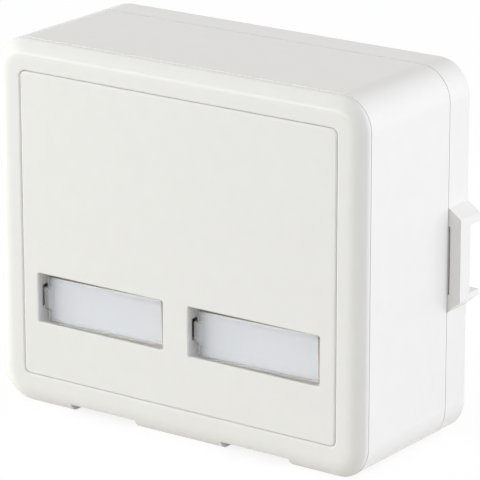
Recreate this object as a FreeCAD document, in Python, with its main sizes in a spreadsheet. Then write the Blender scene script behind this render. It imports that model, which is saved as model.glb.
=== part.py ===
"""A two-port surface mount jack box: wall base, cover, label windows and two eight-way jacks.

X runs to the viewer's right, the front faces -Y and +Z is up. The origin is the middle of the wall
face, halfway between the two fixing slots. Depths are measured forward from the wall. The ports
face down, through the cover's bottom wall.
"""

import FreeCAD, Part

import math
import os

import Sketcher
from FreeCAD import Vector

SIZES = [
    ("width", 80.0, "case, side to side"),
    ("height", 68.6, "case, top to bottom"),
    ("depth", 32.5, "case, wall face to front"),
    ("corner_round", 6.2, "outer corners seen from the front"),
    ("wall", 2.0, "cover's side, top and bottom walls"),
    ("front_wall", 2.2, "thickness of the border and of the panel"),
    ("border", 5.8, "border's width around the panel"),
    ("edge_width", 3.4, "how far the rounded edge reaches across the border"),
    ("edge_depth", 1.9, "how far the rounded edge reaches back along the sides"),
    ("edge_nose", 1.0, "radius of the tight end of the rounded edge, at the sides"),
    ("parting_step", 0.12, "step behind the rounded edge, where the mould halves meet"),
    ("base_depth", 6.2, "wall face to the split line"),
    ("back_wall", 2.2, "base's floor, against the wall"),
    ("split_gap", 0.15, "between the cover and the base"),
    ("fit_gap", 0.25, "between the cover's walls and the base's lip"),
    ("lip_wall", 1.2, "thickness of the base's lip"),
    ("lip_height", 2.8, "how far the lip reaches into the cover"),
    ("ledge_wall", 1.2, "ledge behind the border that the panel seats on"),
    ("ledge_reach", 2.0, "how far the ledge reaches in under the panel"),
    ("ledge_skirt", 1.6, "ledge's foot on the back of the border"),
    ("groove_gap", 0.05, "between the panel and the border"),
    ("groove_edge", 0.4, "rounding of both edges of the groove"),
    ("panel_round", 1.2, "corners of the opening for the panel"),
    ("hook_width", 4.6, "panel's snap hooks"),
    ("hook_wall", 1.1, "thickness of a snap hook's leg"),
    ("hook_bite", 0.7, "how far a hook reaches over the ledge"),
    ("hook_nose", 1.3, "snap hook's nose, front to back"),
    ("hook_gap", 0.1, "play between a hook and the ledge"),
    ("hook_inset", 1.7, "hook's outer end to the corner of the ledge's opening"),
    ("port_gap", 0.1, "beside a jack in its cut-out in the cover's bottom wall"),
    ("port_rise", 1.45, "height of that cut-out in the border, at the front"),
    ("window_margin", 3.4, "panel's side to its nearest label pocket"),
    ("window_spacing", 5.6, "between the two label pockets"),
    ("window_height", 9.2, "label pocket"),
    ("window_drop", 13.5, "label pocket's middle below the case's middle"),
    ("window_round", 0.4, "label pocket's corners"),
    ("pocket_depth", 2.6, "panel's face to the label pocket's floor"),
    ("pocket_floor", 0.9, "thickness behind the label"),
    ("pocket_wall", 1.1, "walls of the tub behind each window"),
    ("pocket_edge", 0.2, "bevel round the label pocket's mouth"),
    ("prise_slot", 0.5, "slot in the pocket's floor, behind the window's notch"),
    ("prise_undercut", 1.6, "how far that slot reaches in under the pocket's left wall"),
    ("lens_thickness", 1.0, "clear window"),
    ("lens_gap", 0.2, "round the clear window"),
    ("lens_bevel", 0.4, "bevel round the clear window's face"),
    ("lens_notch", 4.1, "notch in the window's left end, for prising it out"),
    ("lens_notch_reach", 0.3, "depth of that notch"),
    ("lens_play", 0.1, "between the window and its label"),
    ("card_thickness", 0.2, "paper label"),
    ("card_margin", 0.35, "paper label's gap to the pocket's walls"),
    ("lug_reach", 2.6, "lug beyond the base's side"),
    ("lug_length", 19.2, "lug at its root, bottom to top"),
    ("lug_drop", 0.35, "lug's middle below the case's middle"),
    ("lug_top_slope", 1.8, "height of the slope at the lug's upper end"),
    ("lug_low_slope", 2.3, "height of the slope at its lower end"),
    ("lug_bar", 3.1, "depth of the lug's bar, front to back"),
    ("lug_opening", 12.5, "opening behind and beside the lug's bar, bottom to top"),
    ("lug_slot", 0.4, "slot between the lug's bar and the base"),
    ("screw_inset", 12.0, "case's side to the middle of a fixing slot"),
    ("screw_slot_length", 8.0, "fixing slot, end to end"),
    ("screw_slot_width", 4.4, "fixing slot"),
    ("screw_pad", 2.0, "raised pad round a fixing slot"),
    ("screw_pad_rise", 1.0, "raised pad above the floor"),
    ("entry_width", 30.0, "cable entry through the floor"),
    ("entry_height", 16.0, "cable entry through the floor"),
    ("entry_rise", 14.0, "cable entry's middle above the screws"),
    ("entry_round", 3.0, "cable entry's corners"),
    ("tie_width", 5.0, "cable tie bridge, side to side"),
    ("tie_depth", 4.6, "cable tie bridge above the floor"),
    ("tie_height", 7.2, "cable tie bridge, bottom to top"),
    ("tie_foot", 1.6, "cable tie bridge's feet"),
    ("tie_roof", 1.8, "cable tie bridge's roof"),
    ("tie_rise", 1.4, "cable tie bridge's middle above the screws"),
    ("tie_spacing", 10.8, "between the middles of the two bridges"),
    ("face_gap", 0.3, "between the jack's face and the cover's bottom wall"),
    ("panel_gap", 0.35, "between a jack's frame and the ledge or pockets in front of it"),
    ("jack_height", 16.2, "jack, back to front"),
    ("jack_depth", 20.0, "jack's housing, face to board"),
    ("frame_gap", 0.15, "round the jack in its frame"),
    ("frame_wall", 1.5, "walls of the frame that holds a jack"),
    ("frame_plate", 1.8, "frame's plate round the jack's face"),
    ("frame_rise", 9.7, "frame, bottom to top"),
    ("hook_room", 1.4, "frame's room in front of the jack, for its fixed hook"),
    ("latch_room", 3.4, "frame's room behind the jack, for its latch"),
    ("catch_reach", 0.9, "catch that the jack's latch snaps under"),
    ("catch_height", 1.5, "catch at the top of the frame"),
    ("nose_hook", 1.1, "jack's fixed hook beyond its front"),
    ("nose_hook_height", 1.6, "jack's fixed hook along the jack"),
    ("latch_width", 8.0, "jack's latch arm"),
    ("latch_wall", 1.1, "thickness of the jack's latch arm"),
    ("latch_gap", 0.15, "play of the hook and the latch in the frame"),
    ("latch_pad", 2.6, "latch's finger pad above the frame"),
    ("socket_width", 11.9, "socket, side to side"),
    ("socket_height", 7.0, "socket's main part"),
    ("socket_side", 1.25, "jack's walls beside the socket"),
    ("socket_wall", 2.6, "jack's wall behind the socket"),
    ("socket_depth", 14.5, "socket, face to carrier"),
    ("socket_edge", 0.4, "bevel round the socket's mouth"),
    ("tab_width", 6.4, "socket's channel for the plug's tab"),
    ("tab_height", 1.7, "socket's channel for the plug's tab"),
    ("key_width", 3.7, "socket's inner channel"),
    ("key_height", 1.5, "socket's inner channel"),
    ("carrier_side", 0.9, "jack's walls beside the contact carrier"),
    ("carrier_front", 1.0, "jack's wall in front of the contact carrier"),
    ("carrier_gap", 0.1, "round the contact carrier"),
    ("comb_side", 0.52, "comb beyond its outer wires' share of it"),
    ("comb_wall", 1.3, "thickness of the carrier's comb"),
    ("comb_reach", 11.0, "how far the comb reaches into the socket"),
    ("comb_groove", 0.5, "grooves in the comb, one for each wire"),
    ("groove_side", 0.05, "play beside a wire in its groove"),
    ("wire_count", 8, "contact wires, and terminals"),
    ("wire_pitch", 1.02, "between contact wires"),
    ("wire_width", 0.46, "contact wire, side to side"),
    ("wire_thickness", 0.35, "contact wire"),
    ("wire_swing", 2.3, "how far a wire's free end stands out from the comb"),
    ("wire_climb", 6.8, "wire's free end above its bend"),
    ("wire_toe", 0.3, "wire's bend above the comb's end"),
    ("board_thickness", 1.2, "circuit board"),
    ("board_margin", 0.3, "circuit board's edge inside the jack's"),
    ("block_margin", 0.1, "terminal block's edge inside the circuit board's"),
    ("block_foot", 2.4, "thickness of the terminal block's foot"),
    ("tower_rise", 6.0, "rows of terminal towers above the foot"),
    ("tower_height", 3.8, "row of towers, back to front"),
    ("tower_inset", 1.1, "block's edge to a row of towers"),
    ("terminal_pitch", 3.1, "between terminals in a row"),
    ("terminal_slot", 0.9, "wire slot in a tower"),
    ("blade_rise", 5.0, "terminal blade, and depth of its slot"),
    ("blade_width", 2.3, "terminal blade, side to side"),
    ("blade_thickness", 0.35, "terminal blade"),
    ("blade_gap", 0.1, "round a terminal blade"),
    ("blade_slot", 0.4, "wire slot in a blade"),
    ("blade_root", 1.6, "blade below its wire slot"),
    ("cap_wall", 0.9, "walls of the terminal cap"),
    ("cap_roof", 1.2, "roof of the terminal cap"),
    ("cap_gap", 0.2, "round the towers in the cap"),
    ("cap_lift", 0.6, "cap's skirt above the terminal block's foot"),
    ("cap_outlet", 1.6, "wire outlets in the cap's skirt"),
    ("cap_outlet_rise", 3.6, "wire outlets, up from the skirt's edge"),
    ("cap_edge", 0.5, "bevel round the cap's roof"),
    ("run_out", 1.0, "how far a cut runs past a free face"),
]

doc = FreeCAD.newDocument("jack_box")
sheet = doc.addObject("Spreadsheet::Sheet", "Sizes")
for row, (alias, amount, note) in enumerate(SIZES, start=1):
    sheet.set(f"A{row}", alias)
    sheet.set(f"B{row}", str(amount))
    sheet.set(f"C{row}", note)
    sheet.setAlias(f"B{row}", alias)
doc.recompute()

# Sketch planes: a sketch's own axes are X and Z on FRONT, X and Y on FLOOR, Y and Z on SIDE.
FRONT = "XZ_Plane"
FLOOR = "XY_Plane"
SIDE = "YZ_Plane"

# Depths, forward from the wall.
SPLIT = "(Sizes.base_depth + Sizes.split_gap)"
SHOULDER = "(Sizes.depth - Sizes.edge_depth)"
BORDER_BACK = "(Sizes.depth - Sizes.front_wall)"
POCKET_BACK = "(Sizes.depth - Sizes.pocket_depth)"
TUB_BACK = f"({POCKET_BACK} - Sizes.pocket_floor)"
CARD_FACE = f"({POCKET_BACK} + Sizes.card_thickness)"
LENS_BACK = f"({CARD_FACE} + Sizes.lens_play)"
LENS_FACE = f"({LENS_BACK} + Sizes.lens_thickness)"
LEDGE_BACK = f"({BORDER_BACK} - Sizes.ledge_wall)"

# Lengths that the case's pieces share.
RIM = "(Sizes.wall + Sizes.fit_gap + Sizes.lip_wall)"
OPENING_WIDTH = "(Sizes.width - 2 * Sizes.border)"
OPENING_HEIGHT = "(Sizes.height - 2 * Sizes.border)"
BOTTOM = "(-Sizes.height / 2)"

# The label pockets share the panel's width, and a port stands under the middle of each.
WINDOW_WIDTH = f"(({OPENING_WIDTH} - Sizes.window_spacing) / 2 - Sizes.window_margin)"
PITCH = f"({WINDOW_WIDTH} + Sizes.window_spacing)"
WINDOW_LEFT = f"(-{WINDOW_WIDTH} / 2)"
SCREW_X = "(Sizes.width / 2 - Sizes.screw_inset)"

# Heights along a jack, from its face up.
FACE = f"({BOTTOM} + Sizes.wall + Sizes.face_gap)"
PLATE_TOP = f"({FACE} + Sizes.frame_plate)"
FRAME_TOP = f"({FACE} + Sizes.frame_rise)"
CATCH = f"({FRAME_TOP} - Sizes.catch_height)"
SOCKET_END = f"({FACE} + Sizes.socket_depth)"
COMB_END = f"({SOCKET_END} - Sizes.comb_reach)"
BOARD = f"({FACE} + Sizes.jack_depth)"
BLOCK = f"({BOARD} + Sizes.board_thickness)"
TOWERS = f"({BLOCK} + Sizes.block_foot)"
TERMINALS = f"({TOWERS} + Sizes.tower_rise - Sizes.blade_rise)"
CAP_ROOF = f"({TOWERS} + Sizes.tower_rise + Sizes.cap_gap)"
CAP_LOW = f"({TOWERS} + Sizes.cap_lift)"

# Terminals stand in two rows, front and back, with half of them in each.
ROW_COUNT = "(Sizes.wire_count / 2)"
ROW_WIDTH = f"({ROW_COUNT} * Sizes.terminal_pitch)"

# Widths in a jack.
JACK_WIDTH = "(Sizes.socket_width + 2 * Sizes.socket_side)"
CARRIER_ROOM = f"({JACK_WIDTH} - 2 * Sizes.carrier_side)"
COMB_WIDTH = "(Sizes.wire_count * Sizes.wire_pitch + 2 * Sizes.comb_side)"
BOARD_WIDTH = f"({JACK_WIDTH} - 2 * Sizes.board_margin)"
BOARD_HEIGHT = "(Sizes.jack_height - 2 * Sizes.board_margin)"
BLOCK_WIDTH = f"({BOARD_WIDTH} - 2 * Sizes.block_margin)"
BLOCK_HEIGHT = f"({BOARD_HEIGHT} - 2 * Sizes.block_margin)"
TOWER_SPACING = f"({BLOCK_HEIGHT} - 2 * Sizes.tower_inset - Sizes.tower_height)"

# Places along Y in a jack: the front is towards -Y. Its frame stands close behind the panel.
FRAME_FACE = f"(min({LEDGE_BACK}; {TUB_BACK}) - Sizes.panel_gap)"
HOOK_ROOM_FRONT = f"({FRAME_FACE} - Sizes.frame_wall)"
JACK_Y = f"(Sizes.jack_height / 2 + Sizes.frame_gap + Sizes.hook_room - {HOOK_ROOM_FRONT})"
NOSE_BACK = f"({JACK_Y} + Sizes.jack_height / 2)"
NOSE_FRONT = f"({JACK_Y} - Sizes.jack_height / 2)"
FRAME_BACK = f"({NOSE_BACK} + Sizes.frame_gap)"
FRAME_FRONT = f"({NOSE_FRONT} - Sizes.frame_gap)"
LATCH_BACK = f"({FRAME_BACK} + Sizes.latch_room)"
CATCH_FRONT = f"({LATCH_BACK} - Sizes.catch_reach)"
SOCKET_BACK = f"({NOSE_BACK} - Sizes.socket_wall)"
SOCKET_FRONT = f"({SOCKET_BACK} - Sizes.socket_height)"
TAB_FRONT = f"({SOCKET_FRONT} - Sizes.tab_height)"
KEY_FRONT = f"({TAB_FRONT} - Sizes.key_height)"
COMB_BACK = f"({SOCKET_BACK} + Sizes.comb_wall)"
CARRIER_FRONT = f"({NOSE_FRONT} + Sizes.carrier_front + Sizes.carrier_gap)"
WIRE_BACK = f"({SOCKET_BACK} + Sizes.comb_groove)"
WIRE_FRONT = f"({WIRE_BACK} - Sizes.wire_thickness)"
ROWS_Y = [f"({JACK_Y} {side} {TOWER_SPACING} / 2)" for side in "-+"]


def number(text):
    """The value of an expression over the sheet."""
    return float(sheet.evalExpression(text))


def origin_part(body, role):
    """One of the body's own planes or axes."""
    return next(feature for feature in body.Origin.OriginFeatures if feature.Role == role)


def new_body(name, several=False):
    body = doc.addObject("PartDesign::Body", name)
    body.Label = name
    body.AllowCompound = several
    return body


def new_sketch(body, role, offset=None):
    """An empty sketch on one of the body's own planes, moved along the plane's normal."""
    sketch = body.newObject("Sketcher::SketchObject", body.Name + "_sketch")
    sketch.AttachmentSupport = (origin_part(body, role), "")
    sketch.MapMode = "FlatFace"
    if offset:
        sketch.setExpression("AttachmentOffset.Base.z", offset)
    return sketch


def constrain(sketch, expression, *what):
    """Adds a constraint whose value is an expression over the sheet."""
    index = sketch.addConstraint(Sketcher.Constraint(*what, number(expression)))
    sketch.setExpression(f"Constraints[{index}]", expression)


def hold(sketch, geometry, end, x, y):
    """Fixes a point of the sketch at the place that two expressions give."""
    for text, kind, axis in ((x, "DistanceX", -2), (y, "DistanceY", -1)):
        if text == "0":
            sketch.addConstraint(Sketcher.Constraint("PointOnObject", geometry, end, axis))
        else:
            constrain(sketch, text, kind, geometry, end)


def join(sketch, kind, geometries):
    """Joins each geometry's end to the next one's start, all the way round."""
    for index, geometry in enumerate(geometries):
        following = geometries[(index + 1) % len(geometries)]
        sketch.addConstraint(Sketcher.Constraint(kind, geometry, 2, following, 1))


def polygon(sketch, points):
    """A closed outline of straight lines through points given as pairs of expressions."""
    places = [Vector(number(x), number(y), 0) for x, y in points]
    following = places[1:] + places[:1]
    lines = [sketch.addGeometry(Part.LineSegment(*ends)) for ends in zip(places, following)]
    join(sketch, "Coincident", lines)
    for line, (x, y) in zip(lines, points):
        hold(sketch, line, 1, x, y)


def rectangle(sketch, left, right, low, high):
    polygon(sketch, [(left, low), (right, low), (right, high), (left, high)])


def centred_rectangle(sketch, width, height, x, y):
    """A rectangle of a width and height about a point."""
    rectangle(
        sketch,
        f"{x} - ({width}) / 2",
        f"{x} + ({width}) / 2",
        f"{y} - ({height}) / 2",
        f"{y} + ({height}) / 2",
    )


def rounded_rectangle(sketch, width, height, radius, x="0", y="0"):
    """A closed outline of four lines joined by four tangent arcs, centred at x, y."""
    half_width = number(width) / 2
    half_height = number(height) / 2
    r = number(radius)
    middle = Vector(number(x), number(y), 0)
    corners = [(1, -1), (1, 1), (-1, 1), (-1, -1)]
    lines = []
    arcs = []
    for index, (right, up) in enumerate(corners):
        before_right, before_up = corners[index - 1]
        start = middle + Vector(before_right * half_width, before_up * half_height, 0)
        stop = middle + Vector(right * half_width, up * half_height, 0)
        back_off = (stop - start).normalize() * r
        lines.append(sketch.addGeometry(Part.LineSegment(start + back_off, stop - back_off)))
        centre = middle + Vector(right * (half_width - r), up * (half_height - r), 0)
        turn = math.radians(90 * index - 90)
        circle = Part.Circle(centre, Vector(0, 0, 1), r)
        arcs.append(sketch.addGeometry(Part.ArcOfCircle(circle, turn, turn + math.pi / 2)))
    join(sketch, "Tangent", [geometry for pair in zip(lines, arcs) for geometry in pair])
    for index, line in enumerate(lines):
        sketch.addConstraint(Sketcher.Constraint("Vertical" if index % 2 else "Horizontal", line))
    for arc in arcs[1:]:
        sketch.addConstraint(Sketcher.Constraint("Equal", arcs[0], arc))
    constrain(sketch, radius, "Radius", arcs[0])
    constrain(sketch, width, "DistanceX", lines[3], 1, lines[1], 1)
    constrain(sketch, height, "DistanceY", lines[0], 1, lines[2], 1)
    centre_point = (-1, 1)
    if (x, y) != ("0", "0"):
        centre_point = (sketch.addGeometry(Part.Point(middle), True), 1)
        hold(sketch, *centre_point, x, y)
    sketch.addConstraint(Sketcher.Constraint("Symmetric", arcs[3], 3, arcs[1], 3, *centre_point))


def round_slot(sketch, length, width, x):
    """A round-ended slot along the sketch's first axis, centred at x on that axis."""
    r = number(width) / 2
    reach = number(length) / 2 - r
    middle = Vector(number(x), 0, 0)
    geometries = []
    for side in (1, -1):
        run = Vector(side * reach, 0, 0)
        edge = Vector(0, side * r, 0)
        turn = math.radians(-90 * side)
        circle = Part.Circle(middle + run, Vector(0, 0, 1), r)
        geometries.append(sketch.addGeometry(Part.ArcOfCircle(circle, turn, turn + math.pi)))
        line = Part.LineSegment(middle + edge + run, middle + edge - run)
        geometries.append(sketch.addGeometry(line))
    right, top, left, _ = geometries
    join(sketch, "Tangent", geometries)
    sketch.addConstraint(Sketcher.Constraint("Equal", right, left))
    sketch.addConstraint(Sketcher.Constraint("Horizontal", top))
    constrain(sketch, f"({width}) / 2", "Radius", right)
    constrain(sketch, f"{length} - ({width})", "DistanceX", left, 3, right, 3)
    hold(sketch, right, 3, f"{x} + ({length} - ({width})) / 2", "0")


def case_outline(sketch, inset="0"):
    """The case's rounded outline, moved in by an inset."""
    rounded_rectangle(
        sketch,
        f"Sizes.width - 2 * {inset}",
        f"Sizes.height - 2 * {inset}",
        f"Sizes.corner_round - {inset}",
    )


def opening_outline(sketch, outset="0"):
    """The outline of the opening for the panel, moved out by an outset."""
    rounded_rectangle(
        sketch,
        f"{OPENING_WIDTH} + 2 * {outset}",
        f"{OPENING_HEIGHT} + 2 * {outset}",
        f"Sizes.panel_round + {outset}",
    )


def pad(body, sketch, length):
    """Adds a sketch's area, along its plane's normal."""
    feature = body.newObject("PartDesign::Pad", body.Name + "_pad")
    feature.Profile = sketch
    feature.setExpression("Length", length)
    return feature


def cut(body, sketch, length):
    """Takes a sketch's area away, along its plane's normal."""
    feature = body.newObject("PartDesign::Pocket", body.Name + "_cut")
    feature.Profile = sketch
    feature.Reversed = True
    feature.setExpression("Length", length)
    return feature


def repeat_across(body, features, count, pitch):
    """Repeats features from left to right."""
    pattern = body.newObject("PartDesign::LinearPattern", body.Name + "_pattern")
    pattern.Originals = features
    pattern.Direction = (origin_part(body, "X_Axis"), [""])
    pattern.Mode = "Spacing"
    pattern.setExpression("Offset", pitch)
    pattern.setExpression("Occurrences", count)
    body.Tip = pattern


def dress(body, kind, size_property, size, test):
    """A fillet or bevel on those edges of the body so far whose boxes pass a test."""
    doc.recompute()
    base = body.Tip
    edges = enumerate(base.Shape.Edges, start=1)
    names = [f"Edge{index}" for index, edge in edges if test(edge.BoundBox)]
    if not names:
        raise ValueError(f"{body.Label} has no such edge for its {kind}")
    feature = body.newObject("PartDesign::" + kind, f"{body.Name}_{kind.lower()}")
    feature.Base = (base, names)
    feature.setExpression(size_property, size)
    return feature


def at_depth(box, depth, slack=0.01):
    """Whether an edge lies at one depth in front of the wall."""
    return abs(box.YMin + depth) < slack and abs(box.YMax + depth) < slack


def at_height(box, height, slack=0.01):
    """Whether an edge lies at one height."""
    return abs(box.ZMin - height) < slack and abs(box.ZMax - height) < slack


def within(low, high, limit_low, limit_high, slack=0.01):
    """Whether a stretch from low to high lies between two limits."""
    return low > limit_low - slack and high < limit_high + slack


def add_lug(body, side):
    """A slotted lug on one side of the base, where a driver's tip prises the cover off."""
    root = f"{side} * Sizes.width / 2"
    tip = f"{side} * (Sizes.width / 2 + Sizes.lug_reach)"
    past_tip = f"{side} * (Sizes.width / 2 + Sizes.lug_reach + Sizes.run_out)"
    slot_side = f"{side} * (Sizes.width / 2 + Sizes.lug_slot)"
    low = "(-Sizes.lug_drop - Sizes.lug_length / 2)"
    high = "(-Sizes.lug_drop + Sizes.lug_length / 2)"
    opening_low = "-Sizes.lug_drop - Sizes.lug_opening / 2"
    opening_high = "-Sizes.lug_drop + Sizes.lug_opening / 2"

    outline = new_sketch(body, FRONT)
    tip_low = f"{low} + Sizes.lug_low_slope"
    tip_high = f"{high} - Sizes.lug_top_slope"
    polygon(outline, [(root, low), (tip, tip_low), (tip, tip_high), (root, high)])
    pad(body, outline, "Sizes.base_depth")

    behind_bar = new_sketch(body, FRONT)
    rectangle(behind_bar, root, past_tip, opening_low, opening_high)
    cut(body, behind_bar, "Sizes.base_depth - Sizes.lug_bar")

    beside_bar = new_sketch(body, FRONT)
    rectangle(beside_bar, root, slot_side, opening_low, opening_high)
    cut(body, beside_bar, "Sizes.base_depth")


def add_jack_frame(body, port):
    """The frame that holds one jack: a plate round the jack's face, and walls with two catches."""
    block = new_sketch(body, FLOOR, FACE)
    half_width = f"({JACK_WIDTH} / 2 + Sizes.frame_gap + Sizes.frame_wall)"
    left = f"{port} - {half_width}"
    right = f"{port} + {half_width}"
    rectangle(block, left, right, f"-{FRAME_FACE}", "-Sizes.back_wall")
    pad(body, block, "Sizes.frame_rise")

    room = f"({JACK_WIDTH} + 2 * Sizes.frame_gap)"
    hook_front = f"-{HOOK_ROOM_FRONT}"
    hook_top = f"{PLATE_TOP} + Sizes.nose_hook_height + 2 * Sizes.latch_gap"
    above = f"{FRAME_TOP} + Sizes.run_out"
    hollow = new_sketch(body, SIDE, f"{port} - {room} / 2")
    polygon(
        hollow,
        [
            (FRAME_FRONT, FACE),
            (FRAME_BACK, FACE),
            (FRAME_BACK, PLATE_TOP),
            (LATCH_BACK, PLATE_TOP),
            (LATCH_BACK, CATCH),
            (CATCH_FRONT, CATCH),
            (CATCH_FRONT, above),
            (FRAME_FRONT, above),
            (FRAME_FRONT, hook_top),
            (hook_front, hook_top),
            (hook_front, PLATE_TOP),
            (FRAME_FRONT, PLATE_TOP),
        ],
    )
    cut(body, hollow, room)


def add_screw_slot(body, side):
    """A fixing slot through a raised pad on the base's floor."""
    place = f"{side} * {SCREW_X}"
    raised = new_sketch(body, FRONT, "Sizes.back_wall")
    pad_length = "Sizes.screw_slot_length + 2 * Sizes.screw_pad"
    round_slot(raised, pad_length, "Sizes.screw_slot_width + 2 * Sizes.screw_pad", place)
    pad(body, raised, "Sizes.screw_pad_rise")

    opening = new_sketch(body, FRONT)
    round_slot(opening, "Sizes.screw_slot_length", "Sizes.screw_slot_width", place)
    cut(body, opening, "Sizes.back_wall + Sizes.screw_pad_rise + Sizes.run_out")


def add_tie_bridge(body, side):
    """A bridge on the base's floor that a cable tie passes under."""
    floor = "-Sizes.back_wall"
    roof = "-(Sizes.back_wall + Sizes.tie_depth - Sizes.tie_roof)"
    top = "-(Sizes.back_wall + Sizes.tie_depth)"
    low = "Sizes.tie_rise - Sizes.tie_height / 2"
    high = "Sizes.tie_rise + Sizes.tie_height / 2"
    arch = new_sketch(body, SIDE, f"{side} * Sizes.tie_spacing / 2 - Sizes.tie_width / 2")
    polygon(
        arch,
        [
            (top, low),
            (top, high),
            (floor, high),
            (floor, f"{high} - Sizes.tie_foot"),
            (roof, f"{high} - Sizes.tie_foot"),
            (roof, f"{low} + Sizes.tie_foot"),
            (floor, f"{low} + Sizes.tie_foot"),
            (floor, low),
        ],
    )
    pad(body, arch, "Sizes.tie_width")


def make_base():
    """The tray against the wall, with the lip that the cover slides over."""
    body = new_body("base")
    block = new_sketch(body, FRONT)
    case_outline(block)
    pad(body, block, "Sizes.base_depth")

    hollow = new_sketch(body, FRONT, "Sizes.back_wall")
    case_outline(hollow, RIM)
    cut(body, hollow, "Sizes.base_depth - Sizes.back_wall")

    lip = new_sketch(body, FRONT, "Sizes.base_depth")
    case_outline(lip, "(Sizes.wall + Sizes.fit_gap)")
    case_outline(lip, RIM)
    pad(body, lip, "Sizes.lip_height")

    for side in (-1, 1):
        add_lug(body, side)
        add_jack_frame(body, f"({side} * {PITCH} / 2)")
        add_screw_slot(body, side)
        add_tie_bridge(body, side)

    entry = new_sketch(body, FRONT)
    rounded_rectangle(
        entry, "Sizes.entry_width", "Sizes.entry_height", "Sizes.entry_round", "0", "Sizes.entry_rise"
    )
    cut(body, entry, "Sizes.back_wall + Sizes.run_out")
    return body


def round_front_edge(body):
    """Sweeps the rounded edge's section round the front: a tight arc at the side, then a broad one.

    With u across the border from the side and v back from the front, the tight arc of radius t meets
    the side at v = b, and the broad arc of radius R meets the front at u = a. They touch where
    (a - t)^2 + (R - b)^2 = (R - t)^2, so R = ((a - t)^2 + b^2 - t^2) / (2 (b - t)).
    """
    a = number("Sizes.edge_width")
    b = number("Sizes.edge_depth")
    t = number("Sizes.edge_nose")
    broad = ((a - t) ** 2 + b**2 - t**2) / (2 * (b - t))
    front = -number("Sizes.depth")
    side = number("Sizes.height / 2 - Sizes.parting_step")
    past = number("Sizes.run_out")

    path = new_sketch(body, FRONT, SHOULDER)
    case_outline(path, "Sizes.parting_step")

    section = new_sketch(body, SIDE)
    tight_centre = Vector(front + b, side - t, 0)
    broad_centre = Vector(front + broad, side - a, 0)
    out = (tight_centre - broad_centre).normalize()
    meeting = math.atan2(out.y, out.x)
    axis = Vector(0, 0, 1)
    tight_circle = Part.Circle(tight_centre, axis, t)
    broad_circle = Part.Circle(broad_centre, axis, broad)
    tight = section.addGeometry(Part.ArcOfCircle(tight_circle, math.pi / 2, meeting))
    wide = section.addGeometry(Part.ArcOfCircle(broad_circle, meeting, math.pi))
    places = [
        Vector(front, side - a, 0),
        Vector(front - past, side - a, 0),
        Vector(front - past, side + past, 0),
        Vector(front + b, side + past, 0),
        Vector(front + b, side, 0),
    ]
    lines = [section.addGeometry(Part.LineSegment(*ends)) for ends in zip(places, places[1:])]
    section.addConstraint(Sketcher.Constraint("Tangent", tight, 2, wide, 1))
    chain = [wide, *lines, tight]
    for before, after in zip(chain, chain[1:]):
        section.addConstraint(Sketcher.Constraint("Coincident", before, 2, after, 1))
    for index, line in enumerate(lines):
        section.addConstraint(Sketcher.Constraint("Vertical" if index % 2 else "Horizontal", line))
    side_z = "Sizes.height / 2 - Sizes.parting_step"
    hold(section, tight, 3, f"-{SHOULDER}", f"{side_z} - Sizes.edge_nose")
    constrain(section, "Sizes.edge_nose", "Radius", tight)
    section.addConstraint(Sketcher.Constraint("Vertical", tight, 3, tight, 1))
    hold(section, wide, 2, "-Sizes.depth", f"{side_z} - Sizes.edge_width")
    section.addConstraint(Sketcher.Constraint("Horizontal", wide, 3, wide, 2))
    hold(section, lines[1], 2, "-Sizes.depth - Sizes.run_out", f"{side_z} + Sizes.run_out")

    edge = body.newObject("PartDesign::SubtractivePipe", "front_edge")
    edge.Profile = section
    edge.Spine = (path, [])
    return edge


def make_cover():
    """The cover: four walls and the border round the panel, moulded in one piece."""
    body = new_body("cover")
    walls = new_sketch(body, FRONT, SPLIT)
    case_outline(walls)
    pad(body, walls, f"{SHOULDER} - {SPLIT}")

    front = new_sketch(body, FRONT, SHOULDER)
    case_outline(front, "Sizes.parting_step")
    pad(body, front, "Sizes.edge_depth")
    round_front_edge(body)

    hollow = new_sketch(body, FRONT, SPLIT)
    case_outline(hollow, "Sizes.wall")
    cut(body, hollow, f"{BORDER_BACK} - {SPLIT}")

    ledge = new_sketch(body, FRONT, LEDGE_BACK)
    opening_outline(ledge, "Sizes.ledge_skirt")
    rounded_rectangle(
        ledge,
        f"{OPENING_WIDTH} - 2 * Sizes.ledge_reach",
        f"{OPENING_HEIGHT} - 2 * Sizes.ledge_reach",
        "Sizes.panel_round",
    )
    pad(body, ledge, "Sizes.ledge_wall")

    opening = new_sketch(body, FRONT, BORDER_BACK)
    opening_outline(opening)
    cut(body, opening, "Sizes.front_wall + Sizes.run_out")

    half_port = f"({JACK_WIDTH} / 2 + Sizes.port_gap)"
    below = f"{BOTTOM} - Sizes.run_out"
    for side in (-1, 1):
        port = f"({side} * {PITCH} / 2)"
        left = f"{port} - {half_port}"
        right = f"{port} + {half_port}"
        through_wall = new_sketch(body, FRONT, f"-{NOSE_BACK}")
        rectangle(through_wall, left, right, below, f"{BOTTOM} + Sizes.wall")
        cut(body, through_wall, f"{BORDER_BACK} + {NOSE_BACK}")
        through_border = new_sketch(body, FRONT, BORDER_BACK)
        rectangle(through_border, left, right, below, f"{BOTTOM} + Sizes.port_rise")
        cut(body, through_border, "Sizes.front_wall + Sizes.run_out")

    depth = number("Sizes.depth")
    half_width = number(OPENING_WIDTH) / 2
    dress(
        body,
        "Fillet",
        "Radius",
        "Sizes.groove_edge",
        lambda box: at_depth(box, depth) and within(box.XMin, box.XMax, -half_width, half_width),
    )
    return body


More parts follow.
